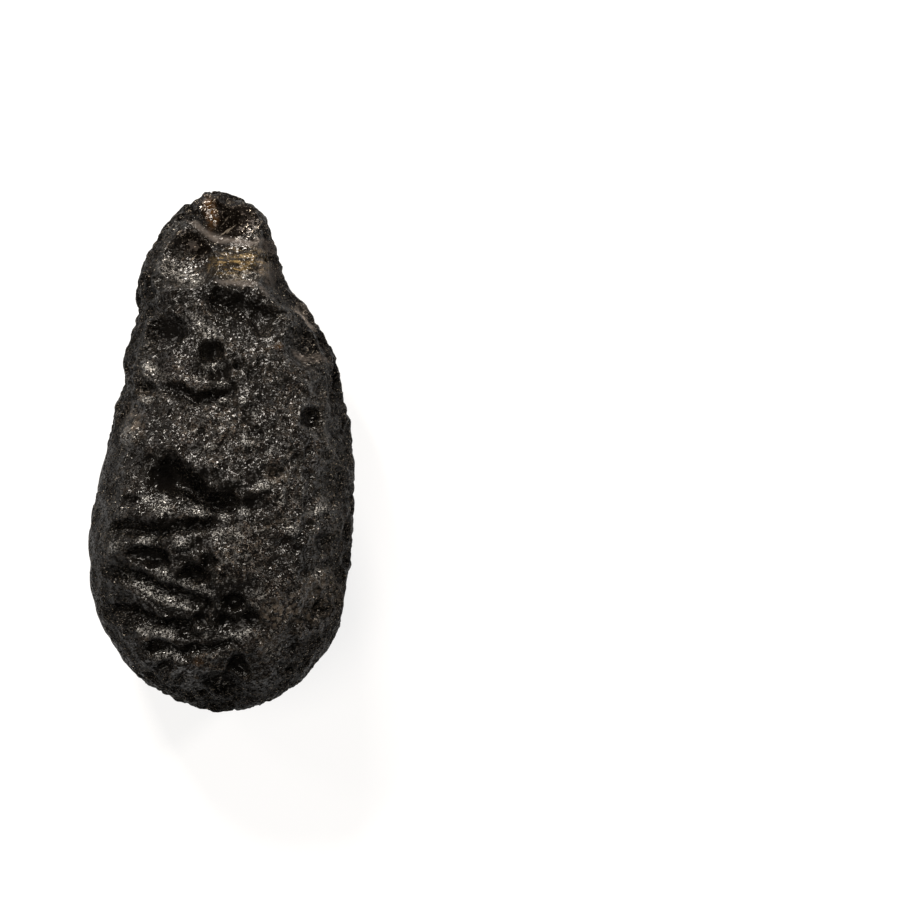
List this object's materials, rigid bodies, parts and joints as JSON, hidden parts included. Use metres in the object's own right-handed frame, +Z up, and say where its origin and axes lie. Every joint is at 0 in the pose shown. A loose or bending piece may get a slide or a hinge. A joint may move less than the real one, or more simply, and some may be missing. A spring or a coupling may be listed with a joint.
{
  "type": "tektite",
  "caption": "Teardrop-shaped natural glass stone with an etched, pitted and grooved skin and a chipped tail, lying on a small worn flat.",
  "frame": {"origin": "on the surface it rests on, under the middle of the stone's length and width", "axes": "+Y from the heavy end to the thin tail, +Z up through the pitted upper side, +X across to the chipped shoulder"},
  "size_m": [0.0318, 0.0622, 0.0259],
  "materials": {
    "tektite_glass": "near-black natural glass, micro-etched satin with glossy pits"
  },
  "bodies": {
    "root": {"tektite": "tektite_glass"}
  },
  "joints": []
}
